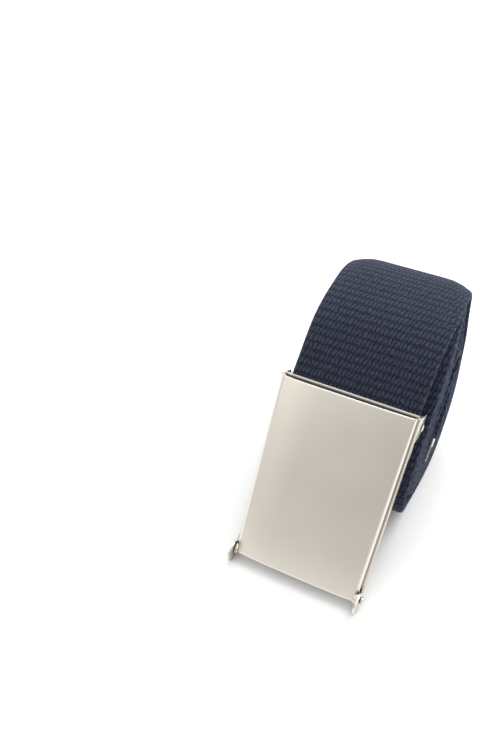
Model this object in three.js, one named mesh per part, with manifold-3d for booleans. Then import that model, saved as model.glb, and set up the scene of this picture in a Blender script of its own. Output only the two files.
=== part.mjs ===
// A canvas web belt, rolled up, with a flip-cover buckle. Millimetres, +Z up, +X to the right, front towards -Y.
// The roll lies on the ground plane z = 0 with its lowest line over the origin. The buckle leans on it in front.
import * as THREE from 'three';
import { mergeVertices } from 'three/addons/utils/BufferGeometryUtils.js';
import Module from 'manifold-3d';

const wasm = await Module();
wasm.setup();

// Clearances
const clearance = 0.3;          // between pieces that touch on the real belt
const headClearance = 0.2;      // between a pin's head and the ear

// Web
const webWidth = 37.4;
const webThickness = 1.7;
const rollRadius = 32.2;        // middle of the web, outer turn
const turnGap = 0.3;            // between one turn and the next
const rollTurns = 6.1;
const rollDrop = 0.7;           // roll's centre below the cover's top edge
const restSink = 0.25;          // how far the roll's underside is pressed flat
const webEndInset = 1.0;        // web's fixed end above the clamp plate's lower edge
const webStep = 2.7;            // length of one facet of the web
const webLevelShare = 0.7;      // share of the web's width that stays level where its edges droop

// Cover
const coverMargin = 0.7;        // cover's edge beyond the web's, on each side
const coverLength = 55.4;
const coverSheet = 0.8;
const coverCrown = 0.7;
const coverLip = 2.2;           // depth of the turned edge, from the face
const coverCorner = 1.0;        // outer radius of that edge

// Base
const baseMargin = 0.6;         // base's side beyond the cover's
const baseSheet = 0.7;
const plateDepth = 4.75;        // front of the base plate behind the cover's face
const baseRise = 0.5;           // base plate's top edge above the cover's
const baseFoot = 3.4;           // base plate's lower edge above the hinge axis
const wallFoot = 1.0;           // side wall's lower end above the hinge axis

// Hinge
const pinInset = 0.7;           // hinge axis above the cover's lower edge
const pinDepth = 1.7;           // hinge axis behind the cover's face
const pinRadius = 0.65;
const pinHeadRadius = 1.05;
const pinHeadLength = 0.7;
const pinInnerLength = 0.5;     // pin's end inside the lug
const lugRadius = 1.9;
const earRadius = 3.3;
const earSheet = 0.6;
const earDrop = 0.75;           // ear's centre below the hinge axis
const earProud = 1.4;           // ear's centre in front of the hinge axis

// Grip bar under the cover
const gripUp = 3.0;             // grip bar's lower side above the hinge axis
const gripLength = 3.2;
const gripHeight = 2.2;
const gripSideGap = 1.2;        // from the cover's turned edge
const gripTeeth = 12;
const gripToothDepth = 0.6;

// Clamp for the fixed end of the web
const clampSheet = 0.8;
const clampPinRadius = 1.0;
const clampPinBore = 0.45;
const clampPinProud = 0.9;
const knuckleRadius = 1.9;
const clampPinDown = 4.2;       // clamp pin's axis below the base plate's top edge
const clampLength = 12;
const clampSideGap = 1.0;       // from the side wall

// Lobes at the back of each side wall, near the top
const lobeRadius = 3.2;
const smallLobeRadius = 2.9;
const smallLobeDown = 10.7;     // its centre below the base plate's top edge
const smallLobeReach = 1.5;     // how far it stands behind the wall
const flareReach = 0.9;         // how far the top corners stand out sideways
const flareLength = 2.2;

// Tip on the tail end
const tipLength = 8;
const tipSheet = 0.4;
const tipTab = 3.0;

const colours = { web: 0x23283a, nickel: 0xc9c2b6, tip: 0xcdc8be };

// Buckle frame: x across, y up along the cover from the hinge axis, z out of the cover's face.
const coverFoot = -pinInset;
const coverTop = coverFoot + coverLength;
const baseTop = coverTop + baseRise;
const plateFront = -plateDepth;
const plateBack = plateFront - baseSheet;
const webMiddle = plateBack - clearance - webThickness / 2;
const clampFront = webMiddle - webThickness / 2 - clearance;
const clampPinZ = clampFront - knuckleRadius;
const clampPinY = baseTop - clampPinDown;
const webEndY = clampPinY - clampLength + webEndInset;
const rollPitch = webThickness + turnGap;
const hollowRadius = rollRadius - rollPitch * rollTurns;
const coverOuter = webWidth / 2 + coverMargin;
const wallOuter = coverOuter + baseMargin;
const wallInner = wallOuter - baseSheet;
const wallFront = -(coverLip + clearance);
const earInner = coverOuter + clearance;
const earOuter = earInner + earSheet;
const earY = -earDrop;
const earZ = -pinDepth + earProud;

// Distance of the web's middle from the roll's centre as shares of rollRadius, before the pitch is taken off.
// The angle starts at the front of the roll, where the clamp lets go, and runs up and over the top. The columns
// that start with outer are the outer turn, and those with inner the turns inside it. cup is how far the web's
// edges droop, and shift how far the web stands to the right, as shares of webWidth.
const rollShape = [
  { angle: 0, outer: 0.918, inner: 0.752, cup: 0, outerShift: 0.008, innerShift: 0.075 },
  { angle: 12, outer: 0.887, inner: 0.778, cup: 0, outerShift: 0.008, innerShift: 0.075 },
  { angle: 24, outer: 0.895, inner: 0.828, cup: 0, outerShift: 0.008, innerShift: 0.073 },
  { angle: 36, outer: 0.925, inner: 0.88, cup: 0, outerShift: 0.01, innerShift: 0.066 },
  { angle: 48, outer: 0.95, inner: 0.925, cup: 0.004, outerShift: 0.014, innerShift: 0.052 },
  { angle: 60, outer: 0.975, inner: 0.965, cup: 0.014, outerShift: 0.014, innerShift: 0.034 },
  { angle: 72, outer: 1.015, inner: 1.005, cup: 0.036, outerShift: 0.004, innerShift: 0.012 },
  { angle: 84, outer: 1.06, inner: 1.045, cup: 0.062, outerShift: -0.014, innerShift: -0.012 },
  { angle: 96, outer: 1.08, inner: 1.06, cup: 0.072, outerShift: -0.032, innerShift: -0.032 },
  { angle: 110, outer: 1.065, inner: 1.05, cup: 0.068, outerShift: -0.044, innerShift: -0.044 },
  { angle: 125, outer: 1.02, inner: 1.01, cup: 0.046, outerShift: -0.042, innerShift: -0.042 },
  { angle: 142, outer: 0.975, inner: 0.97, cup: 0.02, outerShift: -0.02, innerShift: -0.02 },
  { angle: 160, outer: 0.955, inner: 0.955, cup: 0.004, outerShift: 0.006, innerShift: 0.006 },
  { angle: 180, outer: 0.947, inner: 0.947, cup: 0, outerShift: 0.033, innerShift: 0.033 },
  { angle: 202, outer: 0.95, inner: 0.95, cup: 0, outerShift: 0.05, innerShift: 0.05 },
  { angle: 225, outer: 0.975, inner: 0.972, cup: 0, outerShift: 0.06, innerShift: 0.06 },
  { angle: 255, outer: 1.005, inner: 0.998, cup: 0, outerShift: 0.056, innerShift: 0.056 },
  { angle: 275, outer: 1.045, inner: 1.0, cup: 0, outerShift: 0.058, innerShift: 0.058 },
  { angle: 292, outer: 1.11, inner: 0.99, cup: 0, outerShift: 0.07, innerShift: 0.066 },
  { angle: 305, outer: 1.13, inner: 0.945, cup: 0, outerShift: 0.085, innerShift: 0.072 },
  { angle: 318, outer: 1.04, inner: 0.878, cup: 0, outerShift: 0.086, innerShift: 0.076 },
  { angle: 332, outer: 0.9, inner: 0.812, cup: 0, outerShift: 0.08, innerShift: 0.076 },
  { angle: 346, outer: 0.767, inner: 0.767, cup: 0, outerShift: 0.076, innerShift: 0.075 },
];

// The tail hangs in the hollow of the roll: places from the roll's centre as shares of hollowRadius.
const tailShape = [
  { up: 0.68, out: 0.51 },
  { up: 0.82, out: 0.3 },
  { up: 0.78, out: 0.05 },
  { up: 0.6, out: -0.05 },
  { up: 0.34, out: 0.03 },
  { up: 0.05, out: 0.11 },
  { up: -0.25, out: 0.19 },
  { up: -0.52, out: 0.26 },
  { up: -0.77, out: 0.31 },
];

// Smooth curve through the rows of a table.
function follow(rows, at, column, where) {
  const last = rows.length - 1;
  const row = (i) => rows[Math.min(Math.max(i, 0), last)];
  let i = 0;
  while (i < last - 1 && where >= rows[i + 1][at]) i += 1;
  const slope = (k) => {
    const span = row(k + 1)[at] - row(k - 1)[at];
    return (row(k + 1)[column] - row(k - 1)[column]) / span;
  };
  const step = rows[i + 1][at] - rows[i][at];
  const u = Math.min((where - rows[i][at]) / step, 1);
  const blend = u * u * (3 - 2 * u);
  const leave = u * (1 - u) * (1 - u) * step * slope(i);
  const arrive = u * u * (u - 1) * step * slope(i + 1);
  return rows[i][column] * (1 - blend) + rows[i + 1][column] * blend + leave + arrive;
}

// Lines of the web in the buckle frame, from its clamped end to its tail: along its middle and along its edges,
// both in the middle of its thickness. Each inner turn lies one pitch inside the turn round it.
function rollLines() {
  const centre = new THREE.Vector3(0, coverTop - rollDrop, webMiddle - rollRadius * rollShape[0].outer);
  const spiral = [];
  for (let k = 0; k <= Math.ceil(rollTurns); k += 1) {
    for (const row of rollShape) {
      spiral.push({
        turn: k + row.angle / 360,
        share: k > 0 ? row.inner : row.outer,
        shift: k > 0 ? row.innerShift : row.outerShift,
        cup: row.cup,
      });
    }
  }
  const value = (column, turn) => follow(spiral, 'turn', column, turn);
  const base = (turn) => {
    const radius = rollRadius * value('share', turn) - rollPitch * Math.min(turn, 1);
    const angle = turn * Math.PI * 2;
    return new THREE.Vector3(0, centre.y + radius * Math.sin(angle), centre.z + radius * Math.cos(angle));
  };
  const middle = [];
  const edge = [];
  const add = (x, y, z) => {
    middle.push(new THREE.Vector3(x, y, z));
    edge.push(new THREE.Vector3(x, y, z));
  };
  const straightRows = 4;
  for (let i = 0; i < straightRows; i += 1) {
    const y = webEndY + ((centre.y - webEndY) * i) / straightRows;
    add(value('shift', 0) * webWidth, y, webMiddle);
  }
  const rows = Math.round(rollTurns * 30);
  const nearby = 1 / 360;
  for (let i = 0; i <= rows; i += 1) {
    const turn = (rollTurns * i) / rows;
    const round = turn < 1 ? turn : 1 + (turn % 1);
    const along = base(round + nearby).sub(base(Math.max(round - nearby, 0)));
    const out = new THREE.Vector3(0, -along.z, along.y).normalize();
    const p = base(round).addScaledVector(out, -rollPitch * Math.max(turn - 1, 0));
    p.x = value('shift', turn) * webWidth;
    middle.push(p);
    edge.push(p.clone().addScaledVector(out, -value('cup', turn) * webWidth));
  }
  const tailShift = value('shift', rollTurns) * webWidth;
  for (const row of tailShape) {
    add(tailShift, centre.y + row.up * hollowRadius, centre.z + row.out * hollowRadius);
  }
  return { middle, edge };
}

// The lean from upright at which ears and roll touch one ground plane, the height of that plane in the buckle
// frame, and the place of the roll's lowest point along it.
function findRest(line) {
  const height = (p, lean) => p.y * Math.cos(lean) + p.z * Math.sin(lean);
  const along = (p, lean) => p.y * Math.sin(lean) - p.z * Math.cos(lean);
  const lowest = (lean) => line.reduce((a, p) => (height(p, lean) < height(a, lean) ? p : a));
  const rollLow = (lean) => height(lowest(lean), lean) - webThickness / 2 + restSink;
  const earLow = (lean) => height({ y: earY, z: earZ }, lean) - earRadius;
  let low = 0;
  let high = Math.PI / 3;
  for (let i = 0; i < 60; i += 1) {
    const lean = (low + high) / 2;
    if (rollLow(lean) > earLow(lean)) low = lean;
    else high = lean;
  }
  return { lean: low, floor: earLow(low), back: along(lowest(low), low) };
}

const webLines = rollLines();
const rest = findRest(webLines.middle);

// From the buckle frame to the ground frame.
function toGround(p) {
  const up = p.y * Math.cos(rest.lean) + p.z * Math.sin(rest.lean) - rest.floor;
  const back = p.y * Math.sin(rest.lean) - p.z * Math.cos(rest.lean) - rest.back;
  return new THREE.Vector3(p.x, back, up);
}

function material(colour, roughness, metalness) {
  return new THREE.MeshStandardMaterial({ color: colour, roughness, metalness });
}

const satinNickel = material(colours.nickel, 0.38, 1.0);
const tipMetal = material(colours.tip, 0.3, 1.0);
const cottonWeb = material(colours.web, 0.95, 0.0);

function toSolid(geometry) {
  const plain = geometry.index ? geometry.toNonIndexed() : geometry.clone();
  plain.deleteAttribute('normal');
  plain.deleteAttribute('uv');
  const merged = mergeVertices(plain, 1e-4);
  const vertProperties = new Float32Array(merged.attributes.position.array);
  const corners = merged.index.array;
  const kept = [];
  for (let i = 0; i < corners.length; i += 3) {
    const [a, b, c] = [corners[i], corners[i + 1], corners[i + 2]];
    if (a !== b && b !== c && c !== a) kept.push(a, b, c);
  }
  return new wasm.Manifold(new wasm.Mesh({ numProp: 3, vertProperties, triVerts: new Uint32Array(kept) }));
}

function toGeometry(solid) {
  const mesh = solid.getMesh();
  const geometry = new THREE.BufferGeometry();
  geometry.setAttribute('position', new THREE.BufferAttribute(new Float32Array(mesh.vertProperties), 3));
  geometry.setIndex(Array.from(mesh.triVerts));
  geometry.computeVertexNormals();
  return geometry;
}

function block(x0, x1, y0, y1, z0, z1) {
  const geometry = new THREE.BoxGeometry(x1 - x0, y1 - y0, z1 - z0);
  geometry.translate((x0 + x1) / 2, (y0 + y1) / 2, (z0 + z1) / 2);
  return toSolid(geometry);
}

// A round bar along x with its axis at y, z.
function bar(radius, x0, x1, y, z, sides = 28) {
  const geometry = new THREE.CylinderGeometry(radius, radius, x1 - x0, sides);
  geometry.rotateZ(Math.PI / 2);
  geometry.translate((x0 + x1) / 2, y, z);
  return toSolid(geometry);
}

// A flat piece along z: its outline is given in x and y.
function upright(points, z0, z1) {
  const shape = new THREE.Shape(points.map(([x, y]) => new THREE.Vector2(x, y)));
  const geometry = new THREE.ExtrudeGeometry(shape, { depth: z1 - z0, bevelEnabled: false });
  geometry.translate(0, 0, z0);
  return toSolid(geometry);
}

// A flat piece along x: its outline is given in y and z.
function sideways(points, x0, x1) {
  const shape = new THREE.Shape(points.map(([y, z]) => new THREE.Vector2(y, z)));
  const geometry = new THREE.ExtrudeGeometry(shape, { depth: x1 - x0, bevelEnabled: false });
  geometry.applyMatrix4(new THREE.Matrix4().set(0, 0, 1, x0, 1, 0, 0, 0, 0, 1, 0, 0, 0, 0, 0, 1));
  return toSolid(geometry);
}

// A piece along y: its outline is given in x and z.
function lengthways(shape, y0, y1) {
  const geometry = new THREE.ExtrudeGeometry(shape, { depth: y1 - y0, bevelEnabled: false, curveSegments: 5 });
  geometry.rotateX(Math.PI / 2);
  geometry.translate(0, y1, 0);
  return toSolid(geometry);
}

function join(...solids) {
  return solids.reduce((a, b) => a.add(b));
}

function bothSides(solid) {
  return solid.add(solid.mirror([1, 0, 0]));
}

// The web: one strip along the roll, level across its middle, its lowest facets pressed flat on the ground.
function makeWeb() {
  const curve = (points) => new THREE.CatmullRomCurve3(points.map(toGround), false, 'centripetal');
  const path = curve(webLines.middle);
  const edgePath = curve(webLines.edge);
  path.arcLengthDivisions = webLines.middle.length * 16;
  const steps = Math.round(path.getLength() / webStep);
  const position = [];
  const index = [];
  const columns = [-1, -webLevelShare, webLevelShare, 1];
  for (let i = 0; i <= steps; i += 1) {
    const t = path.getUtoTmapping(i / steps);
    const middle = path.getPoint(t);
    const edge = edgePath.getPoint(t);
    const along = path.getTangent(t);
    if (middle.z < webThickness / 2) {
      middle.z = webThickness / 2;
      edge.copy(middle);
      along.z = 0;
    }
    const out = new THREE.Vector3(0, along.z, -along.y).normalize();
    for (const side of [-1, 1]) {
      for (const column of side < 0 ? columns : [...columns].reverse()) {
        const line = Math.abs(column) < 1 ? middle : edge;
        const corner = line.clone().addScaledVector(out, (side * webThickness) / 2);
        position.push(corner.x + (column * webWidth) / 2, corner.y, corner.z);
      }
    }
  }
  const ring = 2 * columns.length;
  for (let i = 0; i < steps; i += 1) {
    for (let k = 0; k < ring; k += 1) {
      const a = i * ring + k;
      const b = i * ring + ((k + 1) % ring);
      index.push(a, b, b + ring, a, b + ring, a + ring);
    }
  }
  const end = steps * ring;
  for (let k = 0; k < columns.length - 1; k += 1) {
    const [a, b, c, d] = [k, k + 1, ring - 2 - k, ring - 1 - k];
    index.push(a, d, c, a, c, b);
    index.push(end + a, end + b, end + c, end + a, end + c, end + d);
  }
  const geometry = new THREE.BufferGeometry();
  geometry.setAttribute('position', new THREE.Float32BufferAttribute(position, 3));
  geometry.setIndex(index);
  geometry.computeVertexNormals();
  const mesh = new THREE.Mesh(geometry, cottonWeb);
  mesh.name = 'web';
  return { mesh, path };
}

// The tip: thin sheet folded over the tail, closed at its end, with a tab turned in at each side.
function makeTip(path) {
  const room = webThickness + 2 * clearance;
  const deep = room + 2 * tipSheet;
  const half = webWidth / 2 + clearance;
  const outer = half + tipSheet;
  const shell = block(-outer, outer, -clearance - tipSheet, tipLength, -deep / 2, deep / 2);
  const pocket = block(-half, half, -clearance, tipLength + clearance, -room / 2, room / 2);
  const sideCut = block(half, outer + clearance, tipTab, tipLength + clearance, -deep, deep);
  const solid = shell.subtract(pocket).subtract(bothSides(sideCut));
  const mesh = new THREE.Mesh(toGeometry(solid), tipMetal);
  mesh.name = 'tail_tip';
  const back = path.getTangentAt(1).negate();
  back.x = 0;
  back.normalize();
  const side = new THREE.Vector3(1, 0, 0);
  const out = new THREE.Vector3().crossVectors(side, back);
  mesh.quaternion.setFromRotationMatrix(new THREE.Matrix4().makeBasis(side, back, out));
  mesh.position.copy(path.getPointAt(1));
  return mesh;
}

// The cover: sheet with a low crown and turned edges. Each turned edge ends in a lug for the hinge pin.
function makeCover() {
  const half = coverOuter;
  const flat = half - coverCorner;
  const inside = coverCorner - coverSheet;
  const rows = 12;
  const crown = (x) => coverCrown * (1 - (x / flat) ** 2);
  const shape = new THREE.Shape();
  shape.moveTo(half, -coverLip);
  shape.lineTo(half, -coverCorner);
  shape.absarc(flat, -coverCorner, coverCorner, 0, Math.PI / 2, false);
  for (let i = 1; i < rows; i += 1) {
    const x = flat * (1 - (2 * i) / rows);
    shape.lineTo(x, crown(x));
  }
  shape.absarc(-flat, -coverCorner, coverCorner, Math.PI / 2, Math.PI, false);
  shape.lineTo(-half, -coverLip);
  shape.lineTo(-half + coverSheet, -coverLip);
  shape.lineTo(-half + coverSheet, -coverCorner);
  shape.absarc(-flat, -coverCorner, inside, Math.PI, Math.PI / 2, true);
  for (let i = rows - 1; i > 0; i -= 1) {
    const x = flat * (1 - (2 * i) / rows);
    shape.lineTo(x, crown(x) - coverSheet);
  }
  shape.absarc(flat, -coverCorner, inside, Math.PI / 2, 0, true);
  shape.lineTo(half - coverSheet, -coverLip);
  shape.closePath();
  const sheet = lengthways(shape, coverFoot, coverTop);
  const lug = bar(lugRadius, half - coverSheet, half, 0, -pinDepth);
  const hole = bar(pinRadius + clearance, half - 2 * coverSheet, half + coverSheet, 0, -pinDepth);
  return sheet.add(bothSides(lug)).subtract(bothSides(hole));
}

// The grip bar: plain bar across the inside of the cover with a row of teeth towards the base plate.
function makeGripBar() {
  const half = coverOuter - coverSheet - gripSideGap;
  const front = -(coverSheet + clearance);
  const rear = front - gripHeight;
  let solid = block(-half, half, gripUp, gripUp + gripLength, rear, front);
  const pitch = (2 * half) / gripTeeth;
  for (let i = 0; i < gripTeeth; i += 1) {
    const x = -half + pitch * (i + 0.5);
    const groove = block(x - pitch / 4, x + pitch / 4, gripUp - clearance, gripUp + gripLength + clearance,
      rear - clearance, rear + gripToothDepth);
    solid = solid.subtract(groove);
  }
  return solid;
}

// The base: plate and two side walls, with ears for the hinge below and lobes for the clamp pin above.
function makeBase() {
  const plate = block(-wallOuter, wallOuter, baseFoot, baseTop, plateBack, plateFront);
  const wall = sideways([
    [wallFoot + baseSheet, wallFront],
    [baseTop, wallFront],
    [baseTop, plateBack],
    [wallFoot + 2 * baseSheet, plateBack],
    [wallFoot, plateBack + 2 * baseSheet],
    [wallFoot, wallFront - baseSheet],
  ], wallInner, wallOuter);
  const lobe = bar(lobeRadius, wallInner, wallOuter, clampPinY, clampPinZ);
  const lobeRoot = sideways([
    [clampPinY - lobeRadius, clampPinZ],
    [clampPinY - lobeRadius - baseSheet, plateBack],
    [baseTop, plateBack],
    [clampPinY + lobeRadius, clampPinZ],
  ], wallInner, wallOuter);
  const smallY = baseTop - smallLobeDown;
  const smallZ = plateBack - smallLobeReach + smallLobeRadius;
  const smallLobe = bar(smallLobeRadius, wallInner, wallOuter, smallY, smallZ)
    .subtract(block(0, 2 * wallOuter, 0, baseTop, wallFront, 0));
  const flare = upright([
    [wallInner, baseTop - flareLength],
    [wallOuter, baseTop - flareLength],
    [wallOuter + flareReach, baseTop],
    [wallInner + flareReach, baseTop],
  ], clampPinZ, wallFront);
  const ear = bar(earRadius, earInner, earOuter, earY, earZ, 36);
  const neck = sideways([
    [earY, earZ + earRadius - baseSheet],
    [earY - earRadius / 2, earZ - earRadius / 2],
    [wallFoot + 2 * baseSheet, plateFront + baseSheet],
    [wallFoot + earRadius, wallFront - baseSheet],
    [wallFoot + earRadius, wallFront],
    [wallFoot + baseSheet, wallFront],
  ], earInner, earOuter);
  const clampHole = bar(clampPinRadius + clearance, wallInner - baseSheet, wallOuter + 2 * baseSheet,
    clampPinY, clampPinZ);
  const hingeHole = bar(pinRadius + clearance, wallInner - baseSheet, earOuter + earSheet, 0, -pinDepth);
  const lugRoom = bar(lugRadius + clearance, wallInner - baseSheet, earInner, 0, -pinDepth);
  const side = join(wall, lobe, lobeRoot, smallLobe, flare, ear, neck)
    .subtract(clampHole)
    .subtract(hingeHole)
    .subtract(lugRoom);
  return plate.add(bothSides(side));
}

function makeHingePin() {
  const shaft = bar(pinRadius, coverOuter - coverSheet - pinInnerLength,
    earOuter + headClearance + pinHeadLength / 2, 0, -pinDepth, 20);
  const head = bar(pinHeadRadius, earOuter + headClearance, earOuter + headClearance + pinHeadLength,
    0, -pinDepth, 24);
  return shaft.add(head);
}

// The clamp plate presses the web against the back of the base plate. Its upper edge is rolled round the pin.
function makeClampPlate() {
  const half = wallInner - clampSideGap;
  const top = clampPinY;
  const plate = block(-half, half, top - clampLength, top, clampFront - clampSheet, clampFront);
  const knuckle = bar(knuckleRadius, -half, half, clampPinY, clampPinZ);
  const bore = bar(clampPinRadius + clearance, -wallOuter, wallOuter, clampPinY, clampPinZ);
  return join(plate, knuckle).subtract(bore);
}

function makeClampPin() {
  const reach = wallOuter + clampPinProud;
  const pin = bar(clampPinRadius, -reach, reach, clampPinY, clampPinZ, 24);
  const bore = bar(clampPinBore, -reach - clearance, reach + clearance, clampPinY, clampPinZ, 16);
  return pin.subtract(bore);
}

const group = new THREE.Group();
const buckle = new THREE.Group();
buckle.rotation.x = Math.PI / 2 - rest.lean;
buckle.position.copy(toGround(new THREE.Vector3(0, 0, 0)));
group.add(buckle);

function addToBuckle(name, solid) {
  const mesh = new THREE.Mesh(toGeometry(solid), satinNickel);
  mesh.name = name;
  buckle.add(mesh);
}

const web = makeWeb();
group.add(web.mesh);
group.add(makeTip(web.path));
addToBuckle('buckle_base', makeBase());
addToBuckle('cover', makeCover());
addToBuckle('grip_bar', makeGripBar());
addToBuckle('hinge_pin_right', makeHingePin());
addToBuckle('hinge_pin_left', makeHingePin().mirror([1, 0, 0]));
addToBuckle('clamp_plate', makeClampPlate());
addToBuckle('clamp_pin', makeClampPin());

export default group;
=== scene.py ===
"""A canvas web belt, rolled up, with a flip-cover buckle leaning on the roll."""
import math
from types import SimpleNamespace

import bmesh
import bpy
from mathutils import Matrix, Vector


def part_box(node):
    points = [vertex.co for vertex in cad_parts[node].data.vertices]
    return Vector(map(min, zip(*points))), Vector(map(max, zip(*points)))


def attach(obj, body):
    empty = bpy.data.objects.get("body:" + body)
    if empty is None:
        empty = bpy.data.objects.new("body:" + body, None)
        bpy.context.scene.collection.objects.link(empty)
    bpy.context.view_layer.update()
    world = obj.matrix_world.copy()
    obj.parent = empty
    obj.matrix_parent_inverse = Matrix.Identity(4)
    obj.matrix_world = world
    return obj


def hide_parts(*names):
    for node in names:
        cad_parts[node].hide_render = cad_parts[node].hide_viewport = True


bl_info = {
    "name": "Canvas web belt",
    "version": (1, 0, 0),
    "blender": (4, 5, 0),
    "location": "View3D > Sidebar > Web belt",
    "description": "Rolled canvas web belt with a flip-cover buckle",
    "category": "Object",
}

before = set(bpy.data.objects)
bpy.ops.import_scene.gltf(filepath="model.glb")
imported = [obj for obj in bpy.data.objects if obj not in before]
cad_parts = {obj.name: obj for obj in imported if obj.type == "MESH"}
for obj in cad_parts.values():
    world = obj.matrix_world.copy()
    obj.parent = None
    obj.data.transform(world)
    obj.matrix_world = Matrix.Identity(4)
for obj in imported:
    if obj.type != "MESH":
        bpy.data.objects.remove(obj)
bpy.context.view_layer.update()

MM = 0.001
PHOTO_HEIGHT = 750              # pixels
SENSOR = 36.0                   # mm, on the photograph's long side

# Distance of the web's middle from the roll's centre as shares of the roll's radius, before the pitch is
# taken off. The angle starts where the clamp lets go and runs up and over the top. outer is the outer turn and
# inner the turns inside it. cup is how far the web's edges droop, and the shifts are how far the web stands to
# the right, as shares of its width.
ROLL_SHAPE = [
    dict(angle=0, outer=0.918, inner=0.752, cup=0.0, outer_shift=0.008, inner_shift=0.075),
    dict(angle=12, outer=0.887, inner=0.778, cup=0.0, outer_shift=0.008, inner_shift=0.075),
    dict(angle=24, outer=0.895, inner=0.828, cup=0.0, outer_shift=0.008, inner_shift=0.073),
    dict(angle=36, outer=0.925, inner=0.88, cup=0.0, outer_shift=0.01, inner_shift=0.066),
    dict(angle=48, outer=0.95, inner=0.925, cup=0.004, outer_shift=0.014, inner_shift=0.052),
    dict(angle=60, outer=0.975, inner=0.965, cup=0.014, outer_shift=0.014, inner_shift=0.034),
    dict(angle=72, outer=1.015, inner=1.005, cup=0.036, outer_shift=0.004, inner_shift=0.012),
    dict(angle=84, outer=1.06, inner=1.045, cup=0.062, outer_shift=-0.002, inner_shift=-0.012),
    dict(angle=96, outer=1.08, inner=1.06, cup=0.072, outer_shift=-0.018, inner_shift=-0.032),
    dict(angle=110, outer=1.065, inner=1.05, cup=0.068, outer_shift=-0.03, inner_shift=-0.044),
    dict(angle=125, outer=1.02, inner=1.01, cup=0.046, outer_shift=-0.03, inner_shift=-0.042),
    dict(angle=142, outer=0.975, inner=0.97, cup=0.02, outer_shift=-0.012, inner_shift=-0.02),
    dict(angle=160, outer=0.955, inner=0.955, cup=0.004, outer_shift=0.006, inner_shift=0.006),
    dict(angle=180, outer=0.947, inner=0.947, cup=0.0, outer_shift=0.033, inner_shift=0.033),
    dict(angle=202, outer=0.95, inner=0.95, cup=0.0, outer_shift=0.05, inner_shift=0.05),
    dict(angle=225, outer=0.975, inner=0.972, cup=0.0, outer_shift=0.06, inner_shift=0.06),
    dict(angle=255, outer=1.005, inner=0.998, cup=0.0, outer_shift=0.056, inner_shift=0.056),
    dict(angle=275, outer=1.045, inner=1.0, cup=0.0, outer_shift=0.058, inner_shift=0.058),
    dict(angle=292, outer=1.11, inner=0.99, cup=0.0, outer_shift=0.07, inner_shift=0.066),
    dict(angle=305, outer=1.13, inner=0.945, cup=0.0, outer_shift=0.085, inner_shift=0.072),
    dict(angle=318, outer=1.04, inner=0.878, cup=0.0, outer_shift=0.086, inner_shift=0.076),
    dict(angle=332, outer=0.9, inner=0.812, cup=0.0, outer_shift=0.08, inner_shift=0.076),
    dict(angle=346, outer=0.767, inner=0.767, cup=0.0, outer_shift=0.076, inner_shift=0.075),
]

# The tail in the hollow of the roll: places from the roll's centre as shares of the hollow's radius.
TAIL_SHAPE = [
    dict(up=0.68, out=0.51),
    dict(up=0.82, out=0.3),
    dict(up=0.78, out=0.05),
    dict(up=0.6, out=-0.05),
    dict(up=0.34, out=0.03),
    dict(up=0.05, out=0.11),
    dict(up=-0.25, out=0.19),
    dict(up=-0.52, out=0.26),
    dict(up=-0.77, out=0.31),
]

# The buckle's own frame, in mm: x across, y up along the cover from the hinge axis, z out of its face.
HINGE_DEPTH = -1.7
CLAMP_PIN = (51.0, -9.65)       # y and z of its axis
COVER_FOOT = -0.7
PLATE_BACK = -5.45
PLATE = 0.6                     # thickness of the channel's sheet
WALL_REACH = 0.6                # from the cover's side to the outside of the channel's wall
RIM_RISE = 0.5                  # from the cover's end to the solid's rim

# The path of the web.
WEB_CLEARANCE = 0.3             # mm, from the channel's plate to the web
CLAMP_STEPS = 14                # places on the straight stretch
TURN_STEPS = 120                # places on each turn
TAIL_STEPS = 8                  # places between two rows of TAIL_SHAPE
STATIONS_PER_RIB = 4
DEGREE = 1 / 360                # in turns
SAME_PLACE = 1e-6               # mm, under any distance between two places of the tail

# The surface of the web.
FACE_STEPS = 13                 # segments across a face
SELVEDGE_STEPS = 5              # segments round a selvedge
ROW_ARCH = 0.6                  # power of a row's arch, which is fuller the lower this is
ROW_MIDDLE = 0.6                # share of a row's arch where the web is at its least thickness

# Meshes: lengths in mm and angles in degrees.
MERGE = 0.001                   # vertices of a new mesh nearer than this are one
SOLID_MERGE = 0.002             # the same for a CAD solid, whose corners are rounded numbers
FLAT_ANGLE = 0.3                # facets of a solid that turn less than this are one face
ROUNDED_ANGLE = 35              # edges of a solid that turn more than this are rounded
CUT_ANGLE = 60                  # edges of the cover's sheet that turn more than this are rounded
SMOOTH_ANGLE = 40               # edges that turn less than this are shaded smooth
WEB_SMOOTH_ANGLE = 60

# The cover.
CORNER_STEPS = 8                # segments round a turned edge
CORNER_HOLD = 0.5               # mm, straight under a turned edge, which keeps its shading crisp
COVER_COLUMNS = 36
COVER_ROWS = 24
END_ROW = 0.01                  # share of the cover's length, which keeps the shading crisp at its ends
DISH_POWER = 4                  # power of the crown and the bow: flat in the middle, falling at the edges
LUG_STEPS = 40
LUG_PROUD = 0.02                # mm, by which a lug's faces stand off the sheet's

# Worn edges of the pieces copied from solids, in mm.
BASE_ROUNDING = 0.112
PIN_ROUNDING = 0.12
PLATE_ROUNDING = 0.12
TOOTH_ROUNDING = 0.1

# The clamp's rivet, in mm.
SOLID_REACH = 0.9               # how far the solid's pin stands out of each wall
RIVET_RADIUS = 0.85
RIVET_BORE = 0.5
RIVET_DEPTH = 1.6
RIVET_CURL = 0.22               # radius of the rolled end
CURL_STEPS = 6
SPIN_STEPS = 36

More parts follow.
